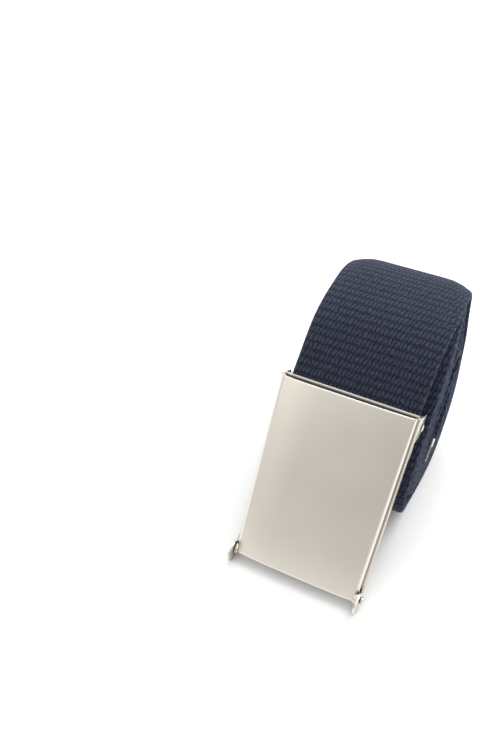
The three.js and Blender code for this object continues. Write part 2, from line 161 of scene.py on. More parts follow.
# The tail's tip, in mm.
TIP_CLEARANCE = 0.15            # from the web to the tip's sheet
NECK = 2.0                      # where the sheet starts to swell, short of the web's end
WAIST = 1.4                     # where the bead starts
WAIST_SWELL = 0.03
BEAD_ARC = 125                  # degrees, half of the bead's arc
BEAD_STEPS = 8
TAB = (0.5, 2.6, 0.9)           # thickness, length, and how far it is wider than the sheet's middle lines
TAB_PLACE = 1.4                 # from the tip's open end to the tab's middle
TAB_SINK = 0.05
TAB_ROUNDING = 0.24

# Cotton: lengths in mm. Heights are shares of a yarn's.
WANDER = 1.818                  # from one bend of a wandering yarn to the next
ROW_WANDER = 0.5                # most that a row wanders, in rows
YARN_WANDER = 1.5               # most that a yarn wanders, in yarns
ROW_OFFSET = 0.5                # how far each row is set aside from the last, in yarns
YARN_SLANT = -0.4               # how far a yarn leans across its row, in yarns
YARN_ARCH = 0.8                 # power of a yarn's arch along its row
GAP_HEIGHT = 0.12               # height of a yarn where it dives between two rows
FIBRE = (0.2262, 0.3922)        # width and length of a bundle of fibres
FACES_APART = 1.7               # keeps the fibres of the web's two faces unlike
FIBRE_HEIGHT = 2.0
WORN_WIDTH = 0.35               # worn part of the selvedge
WORN_HEIGHT = 0.4               # height that looks as pale as the worn selvedge
DARK_HEIGHT = 0.95              # height where the painted shade in the weave's gaps is darkest
PALE_HEIGHT = 2.2               # height where the yarn shows its own crown colour, free of painted shade
DYE_PATCH = 14.29               # from one patch of uneven dye to the next
DYE_RANGE = (0.84, 1.16)
WEAVE_DEPTH = 0.32              # depth of the bumps
SHEEN_TINT = "#9aa3bd"

# Nickel plate: lengths in mm.
CLOUD = 11.11                   # from one cloud in the gloss to the next
GLOSS_RANGE = (-0.04, 0.05)     # added to the roughness
GRAIN = 0.3846                  # from one grain of the satin finish to the next, coarser than real, to show
GRAIN_DEPTH = 0.004
RECESS = 5.0                    # how far round a place its openness is judged
BOXED_IN = (0.2, 0.6)           # openness where the painted shade is darkest, and where it is gone
# The recess value of each finish is the share of the colour kept where the painted shade in recesses is
# darkest.
SATIN = dict(roughness=0.3, grain=0.35, recess_shade=0.25)
BRIGHT = dict(roughness=0.16, grain=0.1, recess_shade=0.8)
# Painted shade inside the channel: this dark colour stands in for the shade there and for the dark web that
# the plate reflects.
CHANNEL_SHADE = "#45414a"
RIM_SHADE_FADE = (0.65, 0.05)       # how far under the rim the painted shade starts to fade, and is gone
SKIN = 0.08                     # how far inside a surface the painted shade ends

# Sockets of a colour mix.
MIX_SHARE, MIX_FIRST, MIX_SECOND, MIX_RESULT = 0, 6, 7, 2

# Studio: metres and watts.
SOFTBOXES = [
    dict(name="back_softbox", place=(0.1, 0.9, 1.15), size=1.2, power=18.0),
    dict(name="left_softbox", place=(-0.7, -1.0, 0.6), size=0.7, power=0.9),
]
FLOOR_HALF = 3.0                # half of the floor's side
CEILING_RISE = (0.3, 0.8)       # where the walls end and the ceiling is full, as the sine of the height
NEAR_CLIP = 0.01


def srgb(code):
    """Linear RGBA from an sRGB hex code."""
    channels = [int(code[i:i + 2], 16) / 255 for i in (1, 3, 5)]
    return [c / 12.92 if c <= 0.04045 else ((c + 0.055) / 1.055) ** 2.4 for c in channels] + [1.0]


def length(name, description, mm, least=-1000):
    """A length in the sidebar, written here in millimetres."""
    return bpy.props.FloatProperty(
        name=name, description=description, default=mm * MM, min=least * MM, precision=5, subtype="DISTANCE",
        unit="LENGTH")


def share(name, description, default, most=1):
    """A share of something in the sidebar."""
    return bpy.props.FloatProperty(
        name=name, description=description, default=default, min=0, max=most, subtype="FACTOR")


def angle(name, description, degrees):
    """An angle in the sidebar, written here in degrees."""
    return bpy.props.FloatProperty(
        name=name, description=description, default=math.radians(degrees), subtype="ANGLE", unit="ROTATION")


def number(name, description, default, least=0):
    """A plain number in the sidebar."""
    return bpy.props.FloatProperty(name=name, description=description, default=default, min=least)


def colour(name, description, code):
    """A colour in the sidebar, written here as sRGB hex."""
    return bpy.props.FloatVectorProperty(
        name=name, description=description, default=srgb(code), size=4, min=0, max=1, subtype="COLOR")


class WebSettings(bpy.types.PropertyGroup):
    """Sizes and colours of the webbing."""
    width: length("Width", "Width of the web", 37.4, least=10)
    thickness: length("Thickness", "Thickness of the web", 1.7, least=0.5)
    roll_radius: length("Roll radius", "Middle of the web, outer turn", 32.2, least=10)
    turn_gap: length("Turn gap", "Between one turn and the next", 0.3, least=0)
    turns: number("Turns", "Turns in the roll", 6.1, least=1)
    roll_drop: length("Roll drop", "Roll's centre below the cover's top edge", 0.7)
    clamp_inset: length("Clamp inset", "Fixed end below the roll's centre", 14.0)
    tail_inset: length("Tail inset", "From the web's free end to the middle of the tip's bead", 1.0, least=0)
    level_share: share("Level share", "Share of the width that stays level where the edges droop", 0.55, 0.95)
    droop: number("Droop", "Share of the table's droop that the edges take", 0.8)
    rib: length("Rib", "Length of one row of the weave", 2.3, least=0.5)
    yarn: length("Yarn", "Width of one raised yarn across the web", 1.15, least=0.3)
    ripple: length("Ripple", "Most that the weave's rows swell a face", 0.036, least=0)
    scallop: length("Scallop", "Most that the weave's rows swell a selvedge", 0.06, least=0)
    # The valley colour is painted shade: its near black stands in for the shade in the weave's gaps, not for a
    # darker dye.
    valley: colour("Valley colour", "Dyed yarn in the gaps of the weave", "#0c0e16")
    crown: colour("Crown colour", "Dyed yarn on top of the weave", "#40475f")


class BuckleSettings(bpy.types.PropertyGroup):
    """Sizes and colours of the buckle."""
    cover_width: length("Cover width", "Outside width of the cover", 38.8, least=10)
    cover_length: length("Cover length", "Length of the cover", 55.4, least=10)
    sheet: length("Cover sheet", "Thickness of the cover's sheet", 0.8, least=0.2)
    crown: length("Cover crown", "Rise of the cover's middle over its edges", 0.7, least=0)
    bow: length("Cover bow", "Fall of the cover's ends under its middle", 0.3, least=0)
    lip: length("Turned edge", "Depth of the cover's turned edge", 2.2, least=0.5)
    corner: length("Corner", "Outer radius of the turned edge", 1.2, least=0.2)
    lug_radius: length("Lug radius", "Radius of the cover's hinge lugs", 1.9, least=0.5)
    pin_hole: length("Pin hole", "Radius of the hole in a lug", 0.95, least=0.2)
    rim_drop: length("Rim drop", "How far the base's worn upper rim is below the solid's", 0.3)
    flare: share("Flare", "Share of the solid's flare that the walls' upper corners keep", 0.3)
    rivet_reach: length("Rivet reach", "How far the clamp's rivet stands out of each wall", 0.5, least=0)
    rounding: length("Rounding", "Radius of the cover's worn edges", 0.16, least=0)
    tip_sheet: length("Tip sheet", "Thickness of the tip's sheet", 0.4, least=0.1)
    tip_grip: length("Tip grip", "Length of the tip on the web", 5.0, least=1)
    overhang: length("Tip overhang", "How far the tip is wider than the web on each side", 0.95, least=0)
    bead: length("Bead", "Middle radius of the tip's rolled end", 1.45, least=0.5)
    plate_colour: colour("Nickel colour", "Satin nickel plate", "#e3ddd2")
    tip_colour: colour("Tip colour", "Bright nickel plate on the tail's tip", "#d8d5ce")


class StageSettings(bpy.types.PropertyGroup):
    """Camera, floor and lights."""
    eye: bpy.props.FloatVectorProperty(
        name="Eye", description="Place of the camera", default=(0.0427, -0.1661, 0.1814), subtype="XYZ",
        unit="LENGTH")
    azimuth: angle("Azimuth", "Turn of the camera from looking along +Y", 27.78)
    pitch: angle("Pitch", "How far the camera looks down", 49.61)
    roll: angle("Roll", "Roll of the camera", -0.42)
    focal_pixels: number("Focal length", "In pixels of the photograph", 719.1, least=1)
    axis_drop: number("Axis drop", "Lens axis below the photograph's centre, in its pixels", 107.0)
    floor: colour("Floor colour", "Pale paper", "#f4f4f4")
    sky: colour("Studio colour", "Light from all round", "#f3f3f2")
    wall_strength: number("Wall strength", "Light from the far walls", 0.61)
    ceiling_strength: number("Ceiling strength", "Light from overhead", 1.35)


def in_mm(settings):
    """The settings as plain values, with every length in millimetres, the unit of all shapes here."""
    values = SimpleNamespace()
    for key in type(settings).__annotations__:
        value = getattr(settings, key)
        if settings.bl_rna.properties[key].unit == "LENGTH":
            value = round(value / MM, 4)    # takes off the noise of single precision
        setattr(values, key, value)
    return values


def add_node(tree, kind, inputs=None, **settings):
    """Adds a node with its settings. An input is linked if its value is a socket, and set otherwise."""
    node = tree.nodes.new(kind)
    for name, value in settings.items():
        setattr(node, name, value)
    for name, value in (inputs or {}).items():
        if isinstance(value, bpy.types.NodeSocket):
            tree.links.new(value, node.inputs[name])
        else:
            node.inputs[name].default_value = value
    return node


def new_material(name):
    """An empty material with nodes, and its tree."""
    material = bpy.data.materials.new(name)
    material.use_nodes = True
    material.node_tree.nodes.clear()
    return material, material.node_tree


def yarn_height(tree, web, place, across, along):
    """Height of the weave: a yarn arches over each row and dives between two rows."""
    # Unevenness: the yarns wander from side to side, and the rows along the web.
    wander = add_node(tree, "ShaderNodeTexNoise", {"Vector": place, "Scale": 1 / WANDER, "Detail": 3.0})
    wander_x, wander_y, _ = add_node(tree, "ShaderNodeSeparateColor", {0: wander.outputs["Color"]}).outputs
    rows = add_node(tree, "ShaderNodeMath", {0: along, 1: 1 / web.rib}, operation="MULTIPLY")
    rows = add_node(tree, "ShaderNodeMath", {0: wander_y, 1: ROW_WANDER, 2: rows.outputs[0]},
                    operation="MULTIPLY_ADD")
    row = add_node(tree, "ShaderNodeMath", {0: rows.outputs[0]}, operation="FLOOR")
    in_row = add_node(tree, "ShaderNodeMath", {0: rows.outputs[0]}, operation="FRACT")
    # Each row is set half a yarn aside from the last, and the twist of the yarn slants it.
    yarns = add_node(tree, "ShaderNodeMath", {0: across, 1: 1 / web.yarn}, operation="MULTIPLY")
    yarns = add_node(tree, "ShaderNodeMath", {0: row.outputs[0], 1: ROW_OFFSET, 2: yarns.outputs[0]},
                     operation="MULTIPLY_ADD")
    yarns = add_node(tree, "ShaderNodeMath", {0: in_row.outputs[0], 1: YARN_SLANT, 2: yarns.outputs[0]},
                     operation="MULTIPLY_ADD")
    yarns = add_node(tree, "ShaderNodeMath", {0: wander_x, 1: YARN_WANDER, 2: yarns.outputs[0]},
                     operation="MULTIPLY_ADD")
    in_yarn = add_node(tree, "ShaderNodeMath", {0: yarns.outputs[0]}, operation="FRACT")
    yarn_arch = add_node(tree, "ShaderNodeMath", {0: in_yarn.outputs[0], 1: math.pi}, operation="MULTIPLY")
    yarn_arch = add_node(tree, "ShaderNodeMath", {0: yarn_arch.outputs[0]}, operation="SINE")
    row_arch = add_node(tree, "ShaderNodeMath", {0: in_row.outputs[0], 1: math.pi}, operation="MULTIPLY")
    row_arch = add_node(tree, "ShaderNodeMath", {0: row_arch.outputs[0]}, operation="SINE")
    row_arch = add_node(tree, "ShaderNodeMath", {0: row_arch.outputs[0], 1: YARN_ARCH}, operation="POWER")
    row_arch = add_node(tree, "ShaderNodeMapRange", {"Value": row_arch.outputs[0], "To Min": GAP_HEIGHT})
    crown = add_node(tree, "ShaderNodeMath", {0: yarn_arch.outputs[0], 1: row_arch.outputs[0]},
                     operation="MULTIPLY")
    # Spun fibres, finer than the render shows, so they are drawn a quarter of a millimetre wide.
    fibres = add_node(tree, "ShaderNodeMapping", {
        "Vector": place, "Scale": (1 / FIBRE[0], 1 / FIBRE[1], FACES_APART)})
    fibres = add_node(tree, "ShaderNodeTexNoise", {"Vector": fibres.outputs[0], "Scale": 1.0, "Detail": 5.0})
    height = add_node(tree, "ShaderNodeMath", {0: fibres.outputs[0], 1: FIBRE_HEIGHT, 2: crown.outputs[0]},
                      operation="MULTIPLY_ADD")
    return height.outputs[0]


def dyed_and_shaded_yarn(tree, web, place, across, height):
    """Colour of the yarn: its own navy where it is high, darkened to near black where it dives, which is
    painted shade in the weave's gaps.
    """
    # The worn selvedge is a little paler than the rest.
    selvedge = add_node(tree, "ShaderNodeMath", {0: across}, operation="ABSOLUTE")
    selvedge = add_node(tree, "ShaderNodeMapRange", {
        "Value": selvedge.outputs[0], "From Min": web.width / 2 - WORN_WIDTH, "From Max": web.width / 2,
        "To Min": 0.0, "To Max": WORN_HEIGHT})
    worn = add_node(tree, "ShaderNodeMath", {0: height, 1: selvedge.outputs[0]}, operation="ADD")
    # Painted shade: the colour runs from the near-black valley colour where the yarn dives up to the crown
    # colour where it is high.
    shade = add_node(tree, "ShaderNodeMapRange", {
        "Value": worn.outputs[0], "From Min": DARK_HEIGHT, "From Max": PALE_HEIGHT})
    yarn = add_node(tree, "ShaderNodeMix", {
        MIX_SHARE: shade.outputs[0], MIX_FIRST: web.valley, MIX_SECOND: web.crown}, data_type="RGBA")
    # Uneven dye, in patches over a centimetre wide.
    dye = add_node(tree, "ShaderNodeTexNoise", {"Vector": place, "Scale": 1 / DYE_PATCH, "Detail": 3.0})
    dye = add_node(tree, "ShaderNodeMapRange", {
        "Value": dye.outputs[0], "To Min": DYE_RANGE[0], "To Max": DYE_RANGE[1]})
    yarn = add_node(tree, "ShaderNodeMix", {
        MIX_SHARE: 1.0, MIX_FIRST: yarn.outputs[MIX_RESULT], MIX_SECOND: dye.outputs[0]},
        data_type="RGBA", blend_type="MULTIPLY")
    return yarn.outputs[MIX_RESULT]


def woven_cotton(name, web):
    """Dyed cotton webbing, woven in rows of slanted yarns: a matt, dusty navy with painted shade in its gaps.
    """
    material, tree = new_material(name)
    place = add_node(tree, "ShaderNodeAttribute", attribute_name="weave").outputs["Vector"]
    across, along, _ = add_node(tree, "ShaderNodeSeparateXYZ", {0: place}).outputs
    height = yarn_height(tree, web, place, across, along)
    bump = add_node(tree, "ShaderNodeBump", {"Height": height, "Distance": WEAVE_DEPTH * MM, "Strength": 0.9})
    surface = add_node(tree, "ShaderNodeBsdfPrincipled", {
        "Base Color": dyed_and_shaded_yarn(tree, web, place, across, height), "Roughness": 0.92,
        "Specular IOR Level": 0.25, "Sheen Weight": 0.3, "Sheen Roughness": 0.4,
        "Sheen Tint": srgb(SHEEN_TINT), "Normal": bump.outputs[0]})
    add_node(tree, "ShaderNodeOutputMaterial", {0: surface.outputs[0]})
    return material


def shaded_inside(tree, place, plate, rim):
    """Colour of the channel with painted shade and a painted reflection of the dark web on its inside: dark
    under the rim and in front of the plate.
    """
    to_buckle = buckle_to_world().inverted()
    own = add_node(tree, "ShaderNodeMapping", {
        "Vector": place, "Location": to_buckle.to_translation(), "Rotation": to_buckle.to_euler()})
    side, height, depth = add_node(tree, "ShaderNodeSeparateXYZ", {0: own.outputs[0]}).outputs
    side = add_node(tree, "ShaderNodeMath", {0: side}, operation="ABSOLUTE")
    wall = in_mm(bpy.context.scene.belt_buckle).cover_width / 2 - SKIN
    outside = add_node(tree, "ShaderNodeMath", {0: side.outputs[0], 1: wall * MM}, operation="GREATER_THAN")
    above = add_node(tree, "ShaderNodeMapRange", {
        "Value": height, "From Min": (rim - RIM_SHADE_FADE[0]) * MM, "From Max": (rim - RIM_SHADE_FADE[1]) * MM})
    face = PLATE_BACK + PLATE
    behind = add_node(tree, "ShaderNodeMapRange", {
        "Value": depth, "From Min": (face + SKIN) * MM, "From Max": face * MM})
    unshaded = add_node(tree, "ShaderNodeMath", {0: above.outputs[0], 1: behind.outputs[0]},
                        operation="MAXIMUM")
    unshaded = add_node(tree, "ShaderNodeMath", {0: unshaded.outputs[0], 1: outside.outputs[0]},
                        operation="MAXIMUM")
    # Painted shade: the dark colour inside the channel, the plate's colour elsewhere.
    channel = add_node(tree, "ShaderNodeMix", {
        MIX_SHARE: unshaded.outputs[0], MIX_FIRST: srgb(CHANNEL_SHADE), MIX_SECOND: plate}, data_type="RGBA")
    return channel.outputs[MIX_RESULT]


def plated_nickel(name, tone, roughness, grain, recess_shade, rim=None):
    """Nickel plate on satin-finished steel: a soft shine with faint clouds of wear in its gloss, and painted
    shade in its recesses.
    """
    material, tree = new_material(name)
    place = add_node(tree, "ShaderNodeTexCoord").outputs["Object"]
    cloud = add_node(tree, "ShaderNodeTexNoise", {"Vector": place, "Scale": 1 / (CLOUD * MM), "Detail": 3.0})
    gloss = add_node(tree, "ShaderNodeMapRange", {
        "Value": cloud.outputs[0], "To Min": roughness + GLOSS_RANGE[0],
        "To Max": roughness + GLOSS_RANGE[1]})
    marks = add_node(tree, "ShaderNodeTexNoise", {"Vector": place, "Scale": 1 / (GRAIN * MM), "Detail": 2.0})
    bump = add_node(tree, "ShaderNodeBump", {
        "Height": marks.outputs[0], "Distance": GRAIN_DEPTH * MM, "Strength": grain})
    # Painted shade: the colour is darkened where the sheet is boxed in, standing in for the shade in recesses.
    openness = add_node(tree, "ShaderNodeAmbientOcclusion", {"Distance": RECESS * MM}, samples=6)
    recess_darkening = add_node(tree, "ShaderNodeMapRange", {
        "Value": openness.outputs["AO"], "From Min": BOXED_IN[0], "From Max": BOXED_IN[1], "To Min": recess_shade,
        "To Max": 1.0})
    plate = add_node(tree, "ShaderNodeMix", {
        MIX_SHARE: 1.0, MIX_FIRST: tone, MIX_SECOND: recess_darkening.outputs[0]},
        data_type="RGBA", blend_type="MULTIPLY").outputs[MIX_RESULT]
    # The channel gets painted shade inside, under its rim.
    if rim:
        plate = shaded_inside(tree, place, plate, rim)
    surface = add_node(tree, "ShaderNodeBsdfPrincipled", {
        "Base Color": plate, "Metallic": 1.0, "Roughness": gloss.outputs[0], "Normal": bump.outputs[0]})
    add_node(tree, "ShaderNodeOutputMaterial", {0: surface.outputs[0]})
    return material


def pale_paper(name, tone):
    """Matt studio paper: a plain pale floor with no shine."""
    material, tree = new_material(name)
    surface = add_node(tree, "ShaderNodeBsdfPrincipled", {"Base Color": tone, "Roughness": 0.9})
    add_node(tree, "ShaderNodeOutputMaterial", {0: surface.outputs[0]})
    return material


def named_material(name, make, *values, **finish):
    """The material of that name, made once."""
    return bpy.data.materials.get(name) or make(name, *values, **finish)


def satin_nickel():
    """The plate of the cover, the pins and the inside pieces."""
    tone = bpy.context.scene.belt_buckle.plate_colour
    return named_material("satin_nickel_plate", plated_nickel, tone, **SATIN)


def follow(rows, at, column, where):
    """Smooth curve through the rows of a table."""
    last = len(rows) - 1
    i = 0
    while i < last - 1 and where >= rows[i + 1][at]:
        i += 1

    def slope(k):
        low, high = rows[max(k - 1, 0)], rows[min(k + 1, last)]
        return (high[column] - low[column]) / (high[at] - low[at])

    step = rows[i + 1][at] - rows[i][at]
    u = min((where - rows[i][at]) / step, 1)
    blend = u * u * (3 - 2 * u)
    leave = u * (1 - u) * (1 - u) * step * slope(i)
    arrive = u * u * (u - 1) * step * slope(i + 1)
    return rows[i][column] * (1 - blend) + rows[i + 1][column] * blend + leave + arrive


def through(four, u):
    """A point between the middle two of four, on a smooth curve through them all."""
    knots = [0.0]
    for p, q in zip(four, four[1:]):
        knots.append(knots[-1] + max((q - p).length, SAME_PLACE) ** 0.5)
    t = knots[1] + (knots[2] - knots[1]) * u
    a, b, c = [four[i].lerp(four[i + 1], (t - knots[i]) / (knots[i + 1] - knots[i])) for i in range(3)]
    a = a.lerp(b, (t - knots[0]) / (knots[2] - knots[0]))
    b = b.lerp(c, (t - knots[1]) / (knots[3] - knots[1]))
    return a.lerp(b, (t - knots[1]) / (knots[2] - knots[1]))


def evenly(line, step, inset):
    """The line's places a step apart, each with its distance along, ended short by the inset."""
    lengths = [0.0]
    for (p, _), (q, _) in zip(line, line[1:]):
        lengths.append(lengths[-1] + (q - p).length)
    end = lengths[-1] - inset
    count = round(end / step)
    stations = []
    k = 0
    for i in range(count + 1):
        want = end * i / count
        while k < len(line) - 2 and lengths[k + 1] < want:
            k += 1
        u = (want - lengths[k]) / (lengths[k + 1] - lengths[k])
        (p, cup_p), (q, cup_q) = line[k], line[k + 1]
        stations.append((want, p.lerp(q, u), cup_p + (cup_q - cup_p) * u))
    return stations


def buckle_to_world():
    """The buckle's own frame, in metres, placed by the CAD's hinge and clamp pins."""
    hinge, clamp = [sum(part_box(n), Vector()) / 2 for n in ("hinge_pin_left", "clamp_pin")]
    seen = clamp - hinge
    own = Vector((0, CLAMP_PIN[0], CLAMP_PIN[1] - HINGE_DEPTH))
    turn = math.atan2(seen.z, seen.y) - math.atan2(own.z, own.y)
    turned = Matrix.Rotation(turn, 4, "X")
    origin = Vector((0, hinge.y, hinge.z)) - turned @ Vector((0, 0, HINGE_DEPTH * MM))
    return Matrix.Translation(origin) @ turned


def clamped_stretch(web, roll_start):
    """The straight stretch from the clamp up to where the roll starts."""
    line = []
    for i in range(CLAMP_STEPS):
        below = web.clamp_inset * (1 - i / CLAMP_STEPS)
        line.append((roll_start - Vector((0, below, 0)), 0.0))
    return line


def rolled_stretch(web, centre):
    """The turns of the roll, from the outside in."""
    spiral = []
    for turn in range(math.ceil(web.turns) + 1):
        part = "inner" if turn else "outer"
        for row in ROLL_SHAPE:
            spiral.append(dict(turn=turn + row["angle"] * DEGREE, share=row[part], shift=row[part + "_shift"],
                               cup=row["cup"]))
    pitch = web.thickness + web.turn_gap

    def first_two_turns(turn):
        radius = web.roll_radius * follow(spiral, "turn", "share", turn) - pitch * min(turn, 1)
        around = turn * 2 * math.pi
        return centre + radius * Vector((0, math.sin(around), math.cos(around)))

    line = []
    count = round(web.turns * TURN_STEPS)
    for i in range(count + 1):
        turn = web.turns * i / count
        like = turn if turn < 1 else 1 + turn % 1
        along = first_two_turns(like + DEGREE) - first_two_turns(max(like - DEGREE, 0))
        out = Vector((0, -along.z, along.y)).normalized()
        point = first_two_turns(like) - out * pitch * max(turn - 1, 0)
        point.x = follow(spiral, "turn", "shift", turn) * web.width
        line.append((point, follow(spiral, "turn", "cup", turn) * web.width))
    return line


def tail_stretch(web, centre, roll):
    """The tail in the roll's hollow, which carries on smoothly from the roll's last two places."""
    hollow = web.roll_radius - (web.thickness + web.turn_gap) * web.turns
    before, start = roll[-2][0], roll[-1][0]
    tail = [Vector((start.x, centre.y + r["up"] * hollow, centre.z + r["out"] * hollow)) for r in TAIL_SHAPE]
    tail = [before, start, *tail, 2 * tail[-1] - tail[-2]]
    line = []
    for four in zip(tail, tail[1:], tail[2:], tail[3:]):
        for k in range(1, TAIL_STEPS + 1):
            line.append((through(four, k / TAIL_STEPS), 0.0))
    return line


def web_stations(web):
    """Places along the web in the buckle's frame, in mm: distance along, middle, and droop of its edges."""
    cover_length = in_mm(bpy.context.scene.belt_buckle).cover_length
    depth = PLATE_BACK - WEB_CLEARANCE - web.thickness / 2
    top = COVER_FOOT + cover_length - web.roll_drop
    centre = Vector((0, top, depth - web.roll_radius * ROLL_SHAPE[0]["outer"]))
    roll_start = Vector((ROLL_SHAPE[0]["outer_shift"] * web.width, top, depth))
    roll = rolled_stretch(web, centre)
    line = clamped_stretch(web, roll_start) + roll + tail_stretch(web, centre, roll)
    return evenly(line, web.rib / STATIONS_PER_RIB, web.tail_inset)


def web_section(web):
    """Places round the strip, across it and outward: its two faces, each ended by a round selvedge."""
    half, thick = web.width / 2, web.thickness / 2
    section = []
    for side in (1, -1):
        for k in range(FACE_STEPS):
            section.append((side * (half - thick) * (2 * k / FACE_STEPS - 1), side * thick))
        for k in range(SELVEDGE_STEPS):
            around = math.pi * k / SELVEDGE_STEPS
            across = half - thick + thick * math.sin(around)
            section.append((side * across, side * thick * math.cos(around)))
    return section


def web_surface(web, station, out, across, off):
    """A place on the strip's surface, swollen by its row of the weave, and drooping near the edges."""
    along, middle, cup = station
    arch = abs(math.sin(math.pi * along / web.rib)) ** ROW_ARCH
    swell = abs(arch - ROW_MIDDLE) / ROW_MIDDLE
    level = web.width / 2 * web.level_share
    edge = max(abs(across) - level, 0) / (web.width / 2 - level)
    on_face = abs(off) > web.thickness / 4
    if on_face:
        off += math.copysign(web.ripple * swell * (1 - edge), off)
    point = middle + out * (off - web.droop * cup * edge ** 2)
    point.x += across + math.copysign(web.scallop * swell * edge, across)
    return point


def web_strip(web, stations):
    """The strip's closed mesh, with the place in the weave kept on each vertex, in mm."""
    section = web_section(web)
    last = len(stations) - 1
    outward = []
    for i in range(last + 1):
        way = stations[min(i + 1, last)][1] - stations[max(i - 1, 0)][1]
        outward.append(Vector((0, -way.z, way.y)).normalized())
    bm = bmesh.new()
    bmesh.ops.create_grid(bm, x_segments=len(section), y_segments=last, size=1.0)
    weave = bm.verts.layers.float_vector.new("weave")
    to_world = buckle_to_world()
    for v in bm.verts:
        i = round((v.co.y + 1) / 2 * last)
        across, off = section[round((v.co.x + 1) / 2 * len(section)) % len(section)]
        v.co = to_world @ (web_surface(web, stations[i], outward[i], across, off) * MM)
        v.co.z = max(v.co.z, 0.0)
        v[weave] = (across, stations[i][0], 1.0 if off > 0 else 0.0)
    bmesh.ops.remove_doubles(bm, verts=bm.verts, dist=MERGE * MM)
    ends = [e for e in bm.edges if e.is_boundary]
    bmesh.ops.holes_fill(bm, edges=ends, sides=0)
    bmesh.ops.recalc_face_normals(bm, faces=bm.faces)
    return bm


def mesh_object(bm, name, material, smooth_angle=SMOOTH_ANGLE):
    """Makes the mesh an object, smooth but for its sharp edges."""
    mesh = bpy.data.meshes.new(name)
    bm.to_mesh(mesh)
    bm.free()
    mesh.materials.append(material)
    mesh.polygons.foreach_set("use_smooth", [True] * len(mesh.polygons))
    mesh.set_sharp_from_angle(angle=math.radians(smooth_angle))
    made = bpy.data.objects.new(name, mesh)
    bpy.context.scene.collection.objects.link(made)
    return made


def add_piece(bm, name, material, body, node, smooth_angle=SMOOTH_ANGLE):
    """Makes the mesh a piece that rides on a body and stands for a CAD node."""
    piece = mesh_object(bm, name, material, smooth_angle)
    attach(piece, body)
    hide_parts(node)
    return piece


def round_edges(bm, least_angle, radius, segments):
    """Rounds the edges that turn more than the angle."""
    least = math.radians(least_angle)
    sharp = [e for e in bm.edges if len(e.link_faces) == 2 and e.calc_face_angle() > least]
    bmesh.ops.bevel(bm, geom=sharp, offset=radius * MM, offset_type="OFFSET", segments=segments, profile=0.5,
                    affect="EDGES", material=-1, clamp_overlap=True)


def merged_solid(node):
    """A copy of a CAD node's mesh with its loose triangles joined."""
    bm = bmesh.new()
    bm.from_mesh(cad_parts[node].data)
    bmesh.ops.remove_doubles(bm, verts=bm.verts, dist=SOLID_MERGE * MM)
    return bm


def dress(bm, radius):
    """Joins a merged solid's flat facets and rounds its edges."""
    bmesh.ops.dissolve_degenerate(bm, edges=bm.edges, dist=SOLID_MERGE * MM)
    bmesh.ops.dissolve_limit(bm, angle_limit=math.radians(FLAT_ANGLE), verts=bm.verts, edges=bm.edges)
    round_edges(bm, ROUNDED_ANGLE, radius, 2)
    for layer in list(bm.loops.layers.uv):
        bm.loops.layers.uv.remove(layer)


def add_dressed(node, name, body, radius):
    """Adds a satin nickel piece with the shape of a CAD node and worn edges."""
    bm = merged_solid(node)
    dress(bm, radius)
    add_piece(bm, name, satin_nickel(), body, node)


def chain(bm, places):
    """A line of edges through places in mm. Gives its vertices and its edges."""
    verts = [bm.verts.new(Vector(place) * MM) for place in places]
    edges = [bm.edges.new(pair) for pair in zip(verts, verts[1:])]
    return verts, edges


def sweep(bm, edges, steps):
    """Extrudes a line of edges by each step in turn, in mm."""
    for step in steps:
        grown = bmesh.ops.extrude_edge_only(bm, edges=edges)["geom"]
        moved = {g for g in grown if isinstance(g, bmesh.types.BMVert)}
        edges = [g for g in grown if isinstance(g, bmesh.types.BMEdge) and set(g.verts) <= moved]
        bmesh.ops.translate(bm, verts=list(moved), vec=Vector(step) * MM)


def cover_profile(s):
    """Places round the cover's outside, across and out of its face, from one turned edge to the other."""
    half, flat = s.cover_width / 2, s.cover_width / 2 - s.corner
    edge = [(half, -s.lip), (half, -s.corner - CORNER_HOLD)]
    for k in range(CORNER_STEPS):
        around = math.pi / 2 * k / CORNER_STEPS
        edge.append((flat + s.corner * math.cos(around), -s.corner + s.corner * math.sin(around)))
    face = []
    for k in range(COVER_COLUMNS + 1):
        x = flat * (1 - 2 * k / COVER_COLUMNS)
        face.append((x, s.crown * (1 - abs(x / flat) ** DISH_POWER)))
    return edge + face + [(-x, z) for x, z in reversed(edge)]


def cover_shell(bm, s):
    """The cover's sheet, with turned edges along both sides, crowned across and bowed along."""
    _, edges = chain(bm, [(x, COVER_FOOT, z) for x, z in cover_profile(s)])
    rows = [0, END_ROW, *[k / COVER_ROWS for k in range(1, COVER_ROWS)], 1 - END_ROW, 1]
    sweep(bm, edges, [(0, s.cover_length * (after - before), 0) for before, after in zip(rows, rows[1:])])
    for v in bm.verts:
        end = abs(2 * (v.co.y / MM - COVER_FOOT) / s.cover_length - 1)
        v.co.z -= s.bow * MM * end ** DISH_POWER
    bmesh.ops.recalc_face_normals(bm, faces=bm.faces)
    if sum(f.normal.z for f in bm.faces) < 0:
        bmesh.ops.reverse_faces(bm, faces=bm.faces)
    bmesh.ops.solidify(bm, geom=bm.faces[:], thickness=s.sheet * MM)
    bmesh.ops.remove_doubles(bm, verts=bm.verts, dist=MERGE * MM)
    round_edges(bm, CUT_ANGLE, s.rounding, 3)


